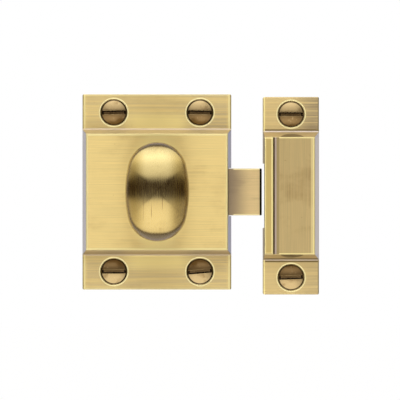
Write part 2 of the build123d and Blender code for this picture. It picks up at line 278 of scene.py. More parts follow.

# The keeper: its flanges, its lip, painted shadow and reflection in the cove, painted shade on its
# slopes, painted reflections on its fillets and its sides, and painted shade on its inner side
KEEPER_FLANGE = colour(0.88, 0.72, 0.36)
KEEPER_WORN = colour(0.40, 0.32, 0.20)
KEEPER_LIP = colour(0.76, 0.61, 0.26)
COVE_OLIVE = colour(0.50, 0.40, 0.21)
COVE_REFLECTION = colour(0.64, 0.54, 0.49)
KEEPER_SLOPE_SHADE = colour(0.585, 0.455, 0.24)
KEEPER_HEEL_SHADE = colour(0.30, 0.24, 0.14)
SCREW_HEAD_REFLECTION = colour(0.22, 0.155, 0.07)
FILLET_UPPER_REFLECTION = colour(0.68, 0.61, 0.57)
FILLET_LOWER_REFLECTION = colour(0.46, 0.40, 0.35)
FLANGE_CORNER_SHADE = colour(0.22, 0.165, 0.075)
KEEPER_SIDE_REFLECTION = colour(0.97, 0.93, 0.84)
KEEPER_INNER_SHADE = colour(0.16, 0.12, 0.05)

# The bolt and the knob, with painted shade on both
BOLT_CASE_SHADE = colour(0.265, 0.205, 0.15)
BOLT_END_SHADE = colour(0.008, 0.005, 0.004)
KNOB_LEFT_SHADE = colour(0.49, 0.345, 0.085)
KNOB_RIGHT_SHADE = colour(0.60, 0.43, 0.115)
KNOB_LOWER_SHADE = colour(0.43, 0.295, 0.085)
KNOB_ENDS_SHADE = colour(0.27, 0.17, 0.045)
KNOB_FLANK_SHADE = colour(0.26, 0.18, 0.06)
SCRATCH = colour(0.22, 0.14, 0.05)

# Directions within a brushed face, which smears its reflections across the lines of the brushing
SIDEWAYS = colour(1.0, 0.0, 0.0)
UPRIGHT = colour(0.0, 0.0, 1.0)


def brushed_sideways(s):
    """0: the lines of the brushing run from side to side."""
    return 0.0


def brushed_upright(s):
    """1: the lines of the brushing run up and down."""
    return 1.0


def keeper_brushing(s):
    """The keeper's face and lip are brushed up and down, its flanges and slopes sideways."""
    height = s.split(s.place())[2]
    off = s.size_of(s.math("SUBTRACT", height, keeper_middle.z))
    return s.step(off, keeper_face_z - 0.2 * MM, keeper_face_z + 0.2 * MM, 1.0, 0.0)


def brushed_lines(s, upright, long, fine, roughness):
    """Noise drawn out along the brushing, with its scale along the lines and across them."""
    level_lines = s.noise((long, fine, fine), detail=4.0, roughness=roughness)
    upright_lines = s.noise((fine, fine, long), detail=4.0, roughness=roughness)
    return s.mix(upright, s.grey(level_lines), s.grey(upright_lines))


def by_half(s, place, first=0.0, second=1.0):
    """One value left of or below the latch's axis, another right of or above it."""
    return s.step(place, -1 * MM, 1 * MM, first, second)


def at_flange(s, y):
    """1 at the depth of a flange's front."""
    return s.stripe(y, flange_front - 0.1 * MM, flange_front + 0.9 * MM)


def at_end_slope(s, y, up, front, face_edge, foot):
    """1 on a block's sloped end, from the edge of its face to its foot."""
    return s.both(s.stripe(up, face_edge + 0.1 * MM, foot - 0.1 * MM),
                  s.stripe(y, front + 0.3 * MM, flange_front - 0.5 * MM))


def at_side(s, y, facing, front):
    """1 on a block's sloped side: it faces sideways, and lies between the front and a flange."""
    return s.both(s.step(facing, 0.5, 0.8), s.stripe(y, front, flange_front - 0.2 * MM))


def at_fillet(s, y, up, start, end):
    """1 on the fillet between a block's end and its flange."""
    return s.both(s.stripe(up, start, end),
                  s.stripe(y, flange_front - 0.7 * MM, flange_front + 0.1 * MM))


def flange_streaks(s, low, high, least, most):
    """Level streaks of wear, from the least to the most as the noise goes from low to high."""
    return s.step(s.noise((20, 1400, 1400), detail=4.0, roughness=0.65), low, high, least, most)


def case_flanges(s, tone, x, y, z):
    """Worn brown in streaks, most at the top right, and polished between the screws."""
    across, up = s.size_of(x), s.size_of(z)
    wear = s.math("MULTIPLY_ADD", by_half(s, z), s.step(x, 5 * MM, 16 * MM, -0.3, 0.35), 1.0)
    worn = s.both(at_flange(s, y), wear,
                  s.step(across, case_high.x - 1.9 * MM, case_high.x - 0.9 * MM, 1.0, 0.3),
                  flange_streaks(s, 0.36, 0.62, 0.12, 0.52))
    polished = s.both(at_flange(s, y), s.step(across, 6 * MM, 15 * MM, 0.75, 0.0),
                      s.step(up, case_block_half + 3 * MM, case_block_half + 7 * MM, 1.0, 0.0))
    return s.paint(s.paint(tone, worn, FLANGE_WORN), polished, FLANGE_POLISHED)


def case_face(s, tone, face):
    """Painted light brightens the face in an oval round the knob."""
    half_width, half_height = 10.5 * MM, 21.5 * MM
    out = s.from_y_axis(s.place(), (1 / half_width, 0.0, 1 / half_height))
    return s.paint(tone, s.both(face, s.step(out, 0.75, 1.10, 0.9, 0.0)), FACE_PAINTED_LIGHT)


def case_slopes(s, tone, x, y, z, side):
    """The end slopes are brown with painted shade, the upper one darker and the lower one darker at
    its foot. The sides carry a painted reflection, pale on the left, and painted shade, brown on
    the right, and painted reflections follow the fillets."""
    up = s.size_of(z)
    slope = at_end_slope(s, y, up, case_low.y, case_face_z, case_block_half)
    deeper = s.step(up, case_face_z + 0.3 * MM, case_block_half - 0.4 * MM)
    lower = s.mix(deeper, SLOPE_LOWER_SHADE, SLOPE_FOOT_SHADE)
    tone = s.paint(tone, s.both(slope, by_half(s, z, 1.0, 0.75)),
                   s.mix(by_half(s, z), lower, SLOPE_UPPER_SHADE))
    tone = s.paint(tone, side, s.mix(by_half(s, x), SIDE_LEFT_REFLECTION, SIDE_RIGHT_SHADE))
    fillet = at_fillet(s, y, up, case_block_half - 0.15 * MM, case_block_half + 0.35 * MM)
    tone = s.paint(tone, s.both(fillet, by_half(s, z, 0.85, 1.0)), CASE_FILLET_REFLECTION)
    # Painted shade: a dark line along the lower fillet
    return s.paint(tone, s.both(fillet, by_half(s, z, 0.3, 0.0)), DIRT_AND_SHADE)


def case_rubbed_and_highlit(s, x, y, z, face):
    """The case's edges, rubbed bright and with a painted highlight: all round its face, and the
    outer edges of its flanges.
    """
    across, up = s.size_of(x), s.size_of(z)
    flange_end = s.step(up, case_high.z - 0.7 * MM, case_high.z - 0.5 * MM)
    return s.either(
        s.both(face, s.stripe(across, case_face_x - 0.6 * MM, case_face_x + 0.1 * MM)),
        s.both(face, s.stripe(up, case_face_z - 0.6 * MM, case_face_z + 0.1 * MM)),
        s.both(at_flange(s, y), s.stripe(across, case_high.x - 1.0 * MM, case_high.x - 0.45 * MM)),
        s.math("MULTIPLY", 0.6, s.both(at_flange(s, y), flange_end)))


def case_marks(s, tone):
    """The case's tones part by part, its rubbed and highlighted edges, and its sides."""
    x, y, z = s.split(s.place())
    face = s.step(y, case_low.y + 0.5 * MM, case_low.y + 0.7 * MM, 1.0, 0.0)
    side = at_side(s, y, s.size_of(s.sideways()), case_low.y + 0.3 * MM)
    tone = case_flanges(s, tone, x, y, z)
    tone = case_face(s, tone, face)
    tone = case_slopes(s, tone, x, y, z, side)
    rubbed_and_highlit = case_rubbed_and_highlit(s, x, y, z, face)
    # Rubbed bright, with a painted highlight, along the case's edges
    tone = s.paint(tone, rubbed_and_highlit, RUBBED_AND_HIGHLIGHT, 0.9)
    # Painted shade: an olive line on the rounded outer edges of the flanges
    outline = s.step(s.size_of(x), case_high.x - 0.42 * MM, case_high.x - 0.3 * MM)
    return s.paint(tone, s.both(at_flange(s, y), outline), EDGE_SHADE_OLIVE, 0.75), rubbed_and_highlit, side


def keeper_flanges(s, tone, x, y, z):
    """Paler than the block, and worn brown in streaks towards the right, most at the top."""
    rightward = s.step(x, keeper_middle.x - 4 * MM, keeper_high.x - 1 * MM, 0.0,
                       by_half(s, z, 0.55, 1.0))
    worn = s.both(at_flange(s, y), s.math("MAXIMUM", rightward, 0.22),
                  flange_streaks(s, 0.34, 0.60, 0.25, 1.0))
    return s.paint(s.paint(tone, at_flange(s, y), KEEPER_FLANGE, 0.65), worn, KEEPER_WORN)


def keeper_slopes(s, tone, x, y, up, above):
    """The end slopes are dulled by painted shade, the lower one dark with painted shade at its
    heel, and both carry a painted reflection of each screw's head as a darker crescent opposite it."""
    slope = at_end_slope(s, y, up, keeper_low.y, keeper_lip_z, keeper_block_half)
    # Painted shade dulls the end slopes
    tone = s.paint(tone, slope, KEEPER_SLOPE_SHADE, 0.9)
    heel = s.stripe(up, keeper_block_half - 0.55 * MM, keeper_block_half - 0.15 * MM)
    tone = s.paint(tone, s.both(slope, heel, s.math("MULTIPLY_ADD", above, -0.9, 1.0)),
                   KEEPER_HEEL_SHADE)
    # Painted reflection of each screw's head: a darker crescent on the slope opposite it
    half_width, half_height = 4.2 * MM, 1.35 * MM
    arc_x = s.math("MULTIPLY", s.math("SUBTRACT", x, keeper_middle.x - 0.1 * MM), 1 / half_width)
    arc_z = s.math("MULTIPLY", s.math("SUBTRACT", up, keeper_face_z), 1 / half_height)
    arc = s.math("ADD", s.math("MULTIPLY", arc_x, arc_x), s.math("MULTIPLY", arc_z, arc_z))
    return s.paint(tone, s.both(slope, s.step(arc, 0.7, 1.0, 0.85, 0.0)), SCREW_HEAD_REFLECTION)


def keeper_fillets(s, tone, y, up, above):
    """A painted reflection along each fillet, and a line of painted shade beside it on the flange.
    """
    fillet = at_fillet(s, y, up, keeper_block_half - 0.1 * MM, keeper_block_half + 0.35 * MM)
    corner = s.stripe(up, keeper_block_half + 0.40 * MM, keeper_block_half + 0.85 * MM)
    tone = s.paint(tone, fillet, s.mix(above, FILLET_LOWER_REFLECTION, FILLET_UPPER_REFLECTION))
    return s.paint(tone, s.both(at_flange(s, y), corner), FLANGE_CORNER_SHADE)


def keeper_rubbed_and_highlit(s, x, y, up, front, inside):
    """The keeper's edges, rubbed bright and with a painted highlight: both sides of its lip, its
    face's far side, and its flanges.
    """
    far = s.both(front, inside)
    return s.either(
        s.both(far, s.stripe(x, keeper_face_x - 0.55 * MM, keeper_face_x - 0.1 * MM)),
        s.math("MULTIPLY", 0.55, s.both(far, s.stripe(x, keeper_face_x - 1.25 * MM,
                                                      keeper_face_x))),
        s.both(front, s.stripe(x, keeper_lip_x - 0.62 * MM, keeper_lip_x + 0.02 * MM)),
        s.both(front, s.stripe(x, keeper_low.x + 0.05 * MM, keeper_low.x + 0.5 * MM)),
        s.both(front, s.stripe(up, keeper_face_z - 0.35 * MM, keeper_face_z + 0.1 * MM)),
        s.both(at_flange(s, y), s.stripe(x, keeper_low.x + 0.1 * MM, keeper_low.x + 0.6 * MM)))


def keeper_cove(s, tone, x, mask):
    """Lines along the cove beside the lip: painted shadow in the corner, then a painted reflection
    and an olive line.
    """
    for start, end, line in ((1.15, 2.10, COVE_OLIVE), (0.60, 1.20, COVE_REFLECTION),
                             (0.0, 0.62, DIRT_AND_SHADE)):
        stripe = s.stripe(x, keeper_lip_x + start * MM, keeper_lip_x + end * MM)
        tone = s.paint(tone, s.both(mask, stripe), line)
    return tone


def keeper_outline(s, tone, x, y, front):
    """Olive lines of painted shade outside the face and at the right of the flanges, and painted
    shade on the side that meets the bolt."""
    brow = s.both(front, s.stripe(x, keeper_face_x + 0.02 * MM, keeper_face_x + 0.4 * MM))
    tone = s.paint(tone, brow, EDGE_SHADE_OLIVE, 0.7)
    right = s.both(at_flange(s, y), s.step(x, keeper_high.x - 0.5 * MM, keeper_high.x - 0.3 * MM))
    tone = s.paint(tone, right, EDGE_SHADE_OLIVE, 0.85)
    left = s.both(s.step(x, keeper_low.x + 0.04 * MM, keeper_low.x + 0.08 * MM, 1.0, 0.0),
                  s.step(y, flange_front - 0.2 * MM, flange_front, 1.0, 0.0))
    return s.paint(tone, left, KEEPER_INNER_SHADE)


def keeper_marks(s, tone):
    """The keeper's tones part by part, its rubbed and highlighted edges, and its sloped side."""
    x, y, z = s.split(s.place())
    up = s.size_of(s.math("SUBTRACT", z, keeper_middle.z))
    above = by_half(s, z)
    front = s.step(y, keeper_low.y + 1.3 * MM, keeper_low.y + 1.5 * MM, 1.0, 0.0)
    on_lip = s.step(x, keeper_lip_x - 0.05 * MM, keeper_lip_x + 0.05 * MM, 1.0, 0.0)
    inside = s.step(up, keeper_face_z - 0.1 * MM, keeper_face_z + 0.1 * MM, 1.0, 0.0)
    side = at_side(s, y, s.sideways(), keeper_low.y + 1.3 * MM)
    tone = keeper_flanges(s, tone, x, y, z)
    tone = s.paint(tone, s.both(front, on_lip), KEEPER_LIP)
    tone = keeper_slopes(s, tone, x, y, up, above)
    # Painted reflection: the keeper's sloped side is pale
    tone = s.paint(tone, side, KEEPER_SIDE_REFLECTION)
    tone = keeper_fillets(s, tone, y, up, above)
    rubbed_and_highlit = keeper_rubbed_and_highlit(s, x, y, up, front, inside)
    # Rubbed bright, with a painted highlight, along the keeper's edges
    tone = s.paint(tone, rubbed_and_highlit, RUBBED_AND_HIGHLIGHT)
    tone = keeper_cove(s, tone, x, s.both(front, inside))
    return keeper_outline(s, tone, x, y, front), rubbed_and_highlit, side


def bolt_marks(s, tone):
    """The bolt is brown with painted shade near the case, has painted highlights along its edges,
    and is black at its end with dark patina and a painted reflection of the keeper's dark pocket.
    """
    x, y, z = s.split(s.place())
    # Painted shade from the case's wall, strongest where the bolt leaves the case
    out = s.step(x, case_high.x - 1 * MM, bolt_high.x - 3 * MM)
    tone = s.paint(tone, s.math("MULTIPLY_ADD", out, -0.75, 0.90), BOLT_CASE_SHADE)
    # Painted highlights along the long front edges, outside the case
    front = s.step(y, bolt_low.y + 0.4 * MM, bolt_low.y + 0.6 * MM, 1.0, 0.0)
    edge = s.stripe(s.size_of(z), 7.5 * MM, 7.95 * MM)
    tone = s.paint(tone, s.both(front, edge, s.step(x, case_high.x, case_high.x + MM, 0.0, 0.7)),
                   RUBBED_AND_HIGHLIGHT)
    # Dark patina and a painted reflection of the keeper's dark pocket at the tip
    tip = s.step(x, bolt_high.x - 0.88 * MM, bolt_high.x - 0.70 * MM)
    return s.paint(tone, tip, BOLT_END_SHADE), 0.0, None


def knob_marks(s, tone):
    """Painted shade on the knob's flanks, its lower half and its ends; the right flank is browner
    with painted shade, in specks; fine dark scratches run down its front.
    """
    x, _, z = s.split(s.place())
    flanks = s.step(s.size_of(x), 3.0 * MM, 8.5 * MM, 0.0, 0.9)
    # Painted shade: darker flanks, lower half and ends
    tone = s.paint(tone, flanks, s.mix(s.step(x, -5 * MM, 0.0), KNOB_LEFT_SHADE, KNOB_RIGHT_SHADE))
    tone = s.paint(tone, s.step(z, -4 * MM, 0.0, 0.45, 0.0), KNOB_LOWER_SHADE)
    tone = s.paint(tone, s.step(s.size_of(z), 13.0 * MM, 15.6 * MM, 0.0, 0.6), KNOB_ENDS_SHADE)
    # The right flank's brown painted shade starts nearer to the middle in the lower half
    grains = s.noise((2100, 2100, 1100), detail=2.0)
    start = s.step(z, -5 * MM, 3 * MM, 3.2 * MM, 6.0 * MM)
    flank = s.step(s.math("SUBTRACT", x, start), 0.0, 4.5 * MM, 0.0, 0.8)
    tone = s.paint(tone, s.both(flank, s.step(grains, 0.40, 0.60, 0.6, 1.0)), KNOB_FLANK_SHADE)
    scratches = s.both(s.step(s.noise((1500, 300, 30), detail=1.0), 0.57, 0.67, 0.0, 0.8),
                       s.stripe(z, -8.5 * MM, -1.5 * MM, soft=1.5 * MM),
                       s.stripe(x, -5.5 * MM, 4.5 * MM, soft=1.5 * MM))
    return s.paint(tone, scratches, SCRATCH), 0.0, None


def ring_mask(s, screw):
    """1 on the rim of the countersink round a screw."""
    spot = middle(screw)
    out = s.from_y_axis(s.vector_math("SUBTRACT", s.place(), (spot.x, 0.0, spot.z)))
    front = s.step(s.split(s.place())[1], flange_front + 0.6 * MM, flange_front + 1.2 * MM,
                   1.0, 0.0)
    return s.both(s.stripe(out, countersink_radius - 0.12 * MM, countersink_radius + 0.34 * MM,
                           soft=0.1 * MM), front)


def brushed_brass(name, marks, brushing=brushed_sideways, clean=CLEAN, browned=BROWNED,
                  brown_share=0.25, roughness=0.52, anisotropy=0.86, rims=(), coat=0.3,
                  edge_reach=0.35 * MM):
    """Lacquered antique brass: brushed, browner in streaks and corners, rubbed bright on edges with
    a painted highlight there too.
    """
    s = Shader(bpy.data.materials.new(name))
    upright = brushing(s)
    hairs = brushed_lines(s, upright, 45, 4200, 0.7)
    streaks = brushed_lines(s, upright, 22, 1500, 0.65)
    clouds = s.noise((60, 60, 95), detail=5.0, roughness=0.6)
    specks = s.noise((1100, 1100, 1100), detail=2.0, roughness=0.5)
    shelter = s.shelter(4.5 * MM)
    rounded, on_edge = s.edges(edge_reach)

    # Brown patina in streaks, in cloudy patches, and where the form shelters it from rubbing
    patches = s.math("MULTIPLY", s.step(streaks, 0.38, 0.66, 0.25, 1.0),
                     s.step(clouds, 0.46, 0.70))
    brown = s.math("MULTIPLY_ADD", patches, brown_share * 1.5,
                   s.step(shelter, 0.30, 0.75, 0.5, 0.0), clamp=True)
    tone = s.paint(clean, brown, browned)
    tone = s.mix(1.0, tone, s.grey(s.step(hairs, 0.3, 0.7, 0.88, 1.07)), blend="MULTIPLY")
    tone = s.paint(tone, s.step(specks, 0.73, 0.80, 0.0, 0.5), browned)

    # Edges are rubbed bright, which also paints a highlight along them, and so are the rims of the
    # countersinks
    rubbed_and_highlit = s.math("MULTIPLY", on_edge, s.step(shelter, 0.35, 0.7))
    tone, worn_and_highlit_edges, lacquered = marks(s, s.paint(tone, rubbed_and_highlit, RUBBED_AND_HIGHLIGHT, 0.9))
    for screw in rims:
        ring = ring_mask(s, screw)
        tone = s.paint(tone, ring, RUBBED_AND_HIGHLIGHT)
        rubbed_and_highlit = s.math("MAXIMUM", rubbed_and_highlit, ring)

    gloss = s.math("MULTIPLY_ADD", s.step(hairs, 0.3, 0.7), 0.10, roughness - 0.05)
    for mask, change in ((brown, 0.06), (rubbed_and_highlit, -0.10), (worn_and_highlit_edges, 0.18)):
        gloss = s.math("MULTIPLY_ADD", mask, change, gloss)
    across = s.body_direction(s.mix(upright, UPRIGHT, SIDEWAYS))
    # The lacquer is thickest on a block's sloped sides
    lacquer = s.either(lacquered, coat) if lacquered else coat
    return s.metal({"Base Color": tone, "Roughness": gloss, "Anisotropic": anisotropy,
                    "Normal": s.bump(hairs, rounded, 0.14, 0.02 * MM), "Tangent": across,
                    "Coat Weight": lacquer, "Coat Roughness": 0.2, "Coat IOR": 1.5})


def turned_metal(name, tone, dark, roughness):
    """Machined metal that is not seen when the latch is fitted: faint tool marks, dull corners."""
    s = Shader(bpy.data.materials.new(name))
    marks = s.noise((30, 2600, 2600), detail=3.0)
    clouds = s.noise((60, 420, 420), detail=3.0)
    dull = s.math("ADD", s.step(clouds, 0.45, 0.75, 0.0, 0.15),
                  s.step(s.shelter(3 * MM, 4), 0.4, 0.95, 0.45, 0.0), clamp=True)
    rounded = s.edges(0.2 * MM, 4)[0]
    shade = s.grey(s.step(marks, 0.35, 0.65, 0.90, 1.03))
    return s.metal({"Base Color": s.mix(1.0, s.paint(tone, dull, dark), shade, blend="MULTIPLY"),
                    "Roughness": s.math("MULTIPLY_ADD", dull, 0.2, roughness),
                    "Normal": s.bump(marks, rounded, 0.12, 0.02 * MM)})


# The wood screws: a lit half and a brown half in painted shade, grains and edges rubbed through,
# and painted shadow in the slot and round the head
SCREW_LIT = colour(0.44, 0.335, 0.175)
SCREW_BROWN_AND_SHADE = colour(0.24, 0.155, 0.065)
SCREW_GRAIN = colour(0.60, 0.46, 0.25)
SCREW_EDGE = colour(0.85, 0.68, 0.36)
SLOT_SHADE = colour(0.25, 0.16, 0.07)
SLOT_SHADOW = colour(0.025, 0.014, 0.007)
RIM_SHADOW = colour(0.05, 0.03, 0.015)


def screw_shadows(s, tone, outward):
    """Painted shadow in the ring round the head, painted shade on the slot's floor, and deeper
    painted shadow in its outer half and its two ends.
    """
    across, depth, _ = s.split(s.place())
    rim = s.both(s.step(s.from_y_axis(s.place()), head_radius - 0.32 * MM,
                        head_radius - 0.16 * MM, 0.0, 0.85),
                 s.step(depth, rim_front + 0.5 * MM, rim_front + 0.9 * MM, 1.0, 0.0))
    slot = s.both(s.stripe(outward, -slot_half, slot_half, soft=0.04 * MM),
                  s.step(depth, slot_floor + 0.1 * MM, slot_floor + 0.2 * MM, 1.0, 0.0))
    shadowed = s.either(s.step(outward, 0.20 * MM, 0.40 * MM),
                      s.step(s.size_of(across), 3.3 * MM, 3.6 * MM))
    tone = s.paint(tone, rim, RIM_SHADOW)
    tone = s.paint(tone, slot, SLOT_SHADE, 0.6)
    return s.paint(tone, s.both(slot, shadowed), SLOT_SHADOW)


def darkened_screw_brass(name):
    """Darkened brass of the wood screws: painted light on the half of the head away from the block,
    brown painted shade on the half beside it, with painted shadow in the slot."""
    s = Shader(bpy.data.materials.new(name))
    spot = s.add("ShaderNodeObjectInfo").outputs["Location"]
    place = s.vector_math("ADD", s.place(), spot)
    clouds = s.noise((330, 330, 330), detail=4.0, place=place)
    grains = s.noise((1500, 1500, 1500), detail=3.0, place=place)
    shelter = s.shelter(1.6 * MM)
    rounded, on_edge = s.edges(0.14 * MM)

    # Outward is away from the latch's middle. The border between the halves is wavy.
    outward = s.math("MULTIPLY", s.math("SIGN", s.split(spot)[2]), s.split(s.place())[2])
    wavy = s.math("MULTIPLY_ADD", s.math("SUBTRACT", clouds, 0.5), 2.5 * MM, outward)
    shaded_half = s.step(wavy, -0.9 * MM, 0.7 * MM, 1.0, 0.0)
    brown = s.either(s.step(clouds, 0.50, 0.70, 0.0, 0.6), shaded_half)

    # Painted light and shade: the outer half lit, the inner half brown in shade, with brown patina
    # in patches
    tone = s.paint(SCREW_LIT, brown, SCREW_BROWN_AND_SHADE)
    tone = s.paint(tone, s.step(grains, 0.60, 0.72, 0.0, 0.4), SCREW_GRAIN)
    # Dirt and painted shade where the head is sheltered
    tone = s.paint(tone, s.step(shelter, 0.30, 0.75, 0.9, 0.0), DIRT_AND_SHADE)
    tone = s.paint(tone, s.both(on_edge, s.step(shelter, 0.4, 0.8, 0.0, 0.5)), SCREW_EDGE)
    tone = screw_shadows(s, tone, outward)
    return s.metal({"Base Color": tone, "Roughness": s.math("MULTIPLY_ADD", brown, 0.10, 0.24),
                    "Normal": s.bump(grains, rounded, 0.22, 0.03 * MM),
                    "Coat Weight": 0.2, "Coat Roughness": 0.2})


def drawn_wire(name):
    """Drawn steel wire: bright, with a slight brown bloom."""
    s = Shader(bpy.data.materials.new(name))
    bloom = s.noise((500, 500, 500), detail=3.0)
    tone = s.paint(colour(0.60, 0.60, 0.60), s.step(bloom, 0.45, 0.7), colour(0.38, 0.34, 0.29))
    return s.metal({"Base Color": tone, "Roughness": s.step(bloom, 0.3, 0.7, 0.2, 0.36)})


case_brass = brushed_brass("case_brass_brushed", case_marks, rims=case_screws,
                           edge_reach=0.5 * MM)
keeper_brass = brushed_brass("keeper_brass_brushed", keeper_marks, brushing=keeper_brushing,
                             clean=colour(0.70, 0.565, 0.30), anisotropy=0.35, roughness=0.58,
                             rims=keeper_screws, brown_share=0.4)
bolt_brass = brushed_brass("bolt_brass_brushed", bolt_marks, clean=colour(0.80, 0.63, 0.34),
                           browned=colour(0.28, 0.21, 0.14), brown_share=0.5)
knob_brass = brushed_brass("knob_brass_brushed", knob_marks, brushing=brushed_upright,
                           clean=colour(0.64, 0.53, 0.25), browned=colour(0.24, 0.16, 0.06),
                           brown_share=0.34, roughness=0.25, anisotropy=0.8,
                           coat=0.5, edge_reach=0.08 * MM)
inner_brass = turned_metal("inner_turned_brass", colour(0.80, 0.62, 0.28),
                           colour(0.42, 0.29, 0.12), 0.24)
plain_steel = turned_metal("inner_plated_steel", colour(0.62, 0.61, 0.58),
                           colour(0.30, 0.29, 0.27), 0.28)
screw_brass = darkened_screw_brass("screw_brass_darkened")
wire_steel = drawn_wire("spring_wire_steel")

dress(["case"], case_brass)
dress(["bolt"], bolt_brass)
dress(["keeper"], keeper_brass)
dress(["knob"], knob_brass)
dress(["back_plate", "spindle", "spindle_washer", "cam", *numbered("back_plate_screw", 4)],
      inner_brass)
dress(["cam_screw", "spring_guide_pin"], plain_steel)
dress(["bolt_spring"], wire_steel)
dress(case_screws + keeper_screws, screw_brass)


def between_rings(rings, count, first=0):
    """Faces between rings of points that follow each other, numbered from the first point."""
    faces = []
    for ring in range(rings - 1):
        for place in range(count):
            a = first + ring * count + place
            b = first + ring * count + (place + 1) % count
            faces.append((a, a + count, b + count, b))
    return faces


def revolved(profile, count):
    """Points and faces of a profile of (radius, y) turned about y, with flat ends."""
    points = [(radius * cos(tau * place / count), y, radius * sin(tau * place / count))
              for radius, y in profile for place in range(count)]
    faces = between_rings(len(profile), count)
    faces.append(tuple(range(count)))
    faces.append(tuple(range(len(points) - 1, len(points) - 1 - count, -1)))
    return points, faces


def screw_profile():
    """The dome from its top to the rim, then the rim, the cone and the plain shank."""
    rise = rim_front - dome_front
    ball = (head_radius ** 2 + rise ** 2) / (2 * rise)
    rings = 12
    dome = []
    for ring in range(1, rings):
        radius = head_radius * ring / rings
        dome.append((radius, dome_front + ball - sqrt(ball ** 2 - radius ** 2)))
    # How far corners are eased
    ease = 0.05 * MM
    return [(0.02 * MM, dome_front), *dome,
            (head_radius - ease, rim_front - ease), (head_radius, rim_front + ease),
            (head_radius, cone_top - ease), (head_radius - ease, cone_top),
            (shank_radius, cone_foot), (shank_radius, thread_start - 8 * ease),
            (thread_core, thread_start + 6 * ease)]


def threaded(count=28):
    """A single thread from the plain shank to the point, as a ribbon wound about the core."""
    # Across the ribbon: the share of the pitch, and the share of the thread's height
    ribbon = [(0.0, 0.0), (0.30, 0.12), (0.44, 0.96), (0.50, 1.0), (0.60, 0.90), (0.78, 0.14),
              (1.0, 0.0)]
    length = screw_tip - thread_start
    steps = int(length / thread_pitch * count)
    points, faces = [], []
    for step in range(steps + 1):
        angle = tau * step / count
        for share, height in ribbon:
            y = min(thread_start + thread_pitch * (step / count + share - 0.5), screw_tip)
            left = (screw_tip - y) / length
            core = thread_core * min(1.0, 2.2 * left) ** 0.8
            crest = (shank_radius - thread_core) * min(1.0, step / count, 3.0 * left)
            radius = max(core + crest * height, 0.02 * MM)
            points.append((radius * cos(angle), y, radius * sin(angle)))
    across = len(ribbon)
    for step in range(steps):
        for place in range(across - 1):
            a = step * across + place
            faces.append((a, a + 1, a + across + 1, a + across))
    return points, faces


def changed(body, operation, tool):
    """The mesh of one piece with another joined to it or cut out of it."""
    change = body.modifiers.new("change", "BOOLEAN")
    change.operation = operation
    change.solver = "EXACT"
    change.object = tool
    graph = bpy.context.evaluated_depsgraph_get()
    mesh = bpy.data.meshes.new_from_object(body.evaluated_get(graph))
    bpy.data.objects.remove(body)
    bpy.data.objects.remove(tool)
    return mesh


def smoothed(mesh, material, sharp_from=radians(32)):
    """Smooth shading, but for edges sharper than the angle given."""
    work = bmesh.new()
    work.from_mesh(mesh)
    for face in work.faces:
        face.smooth = True
    for edge in work.edges:
        edge.smooth = len(edge.link_faces) == 2 and edge.calc_face_angle(0.0) < sharp_from
    work.to_mesh(mesh)
    work.free()
    mesh.materials.clear()
    mesh.materials.append(material)
    return mesh


def cut_slot(points, faces):
    """The head and shank with the slot taken out."""
    body = new_piece("screw_blank", points, faces, screw_brass)
    reach = 1.2 * head_radius
    corners = [(x, y, z) for x in (-reach, reach) for y in (1.5 * dome_front, slot_floor)
               for z in (-slot_half, slot_half)]
    sides = [(0, 1, 3, 2), (4, 6, 7, 5), (0, 4, 5, 1), (2, 3, 7, 6), (0, 2, 6, 4), (1, 5, 7, 3)]
    tool = new_piece("slot_tool", corners, sides, screw_brass, smooth=False)
    return changed(body, "DIFFERENCE", tool)


def wood_screw_mesh():
    """The slotted head and shank, with the thread wound on."""
    mesh = cut_slot(*revolved(screw_profile(), 64))
    points, faces = threaded()
    work = bmesh.new()
    work.from_mesh(mesh)
    added = [work.verts.new(point) for point in points]
    for face in faces:
        work.faces.new([added[place] for place in face])
    work.to_mesh(mesh)
    work.free()
    return smoothed(mesh, screw_brass)


def place_wood_screws():
    """The same screw in all six places, each driven home to its own slot angle."""
    mesh = wood_screw_mesh()
    for name, tilt in zip(case_screws + keeper_screws, slot_tilts):
        screw = bpy.data.objects.new(f"wood_{name}", mesh)
        screw.location = (middle(name).x, 0.0, middle(name).z)
        screw.rotation_euler = (0.0, radians(tilt), 0.0)
        bpy.context.scene.collection.objects.link(screw)
        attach(screw, "case_body")
        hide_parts(name)


# Knob: half its width and height, its end arcs, how far its head reaches from the mounting surface,
# the waisted neck that carries it, how full its dome and back are, and the bore for the spindle
knob_half_x = 10.5 * MM
knob_half_z = 16.3 * MM
knob_end_arc = 9.8 * MM
knob_tip = -33.0 * MM
knob_widest = -24.0 * MM
knob_back = -17.0 * MM
neck_start = -10.2 * MM
neck_collar = -11.1 * MM
neck_end = -20.5 * MM
neck_radii = (5.6 * MM, 4.2 * MM, 4.2 * MM, 6.6 * MM)
dome_power = 2.2
back_power = 2.0
bore_radius = 2.5 * MM
bore_end = -19.7 * MM


def oval_outline(side_points=44, end_points=68):
    """The knob's outline: two long side arcs that run smoothly into two end arcs."""
    centre_z = knob_half_z - knob_end_arc
    side = (centre_z ** 2 / (knob_half_x - knob_end_arc) + knob_end_arc + knob_half_x) / 2
    centre_x = side - knob_half_x
    join = atan2(centre_z, centre_x)
    arcs = [(-centre_x, 0.0, side, -join, 2 * join, side_points),
            (0.0, centre_z, knob_end_arc, join, pi - 2 * join, end_points),
            (centre_x, 0.0, side, pi - join, 2 * join, side_points),
            (0.0, -centre_z, knob_end_arc, pi + join, pi - 2 * join, end_points)]
    return [(x + radius * cos(start + sweep * place / count),
             z + radius * sin(start + sweep * place / count))
            for x, z, radius, start, sweep, count in arcs for place in range(count)]


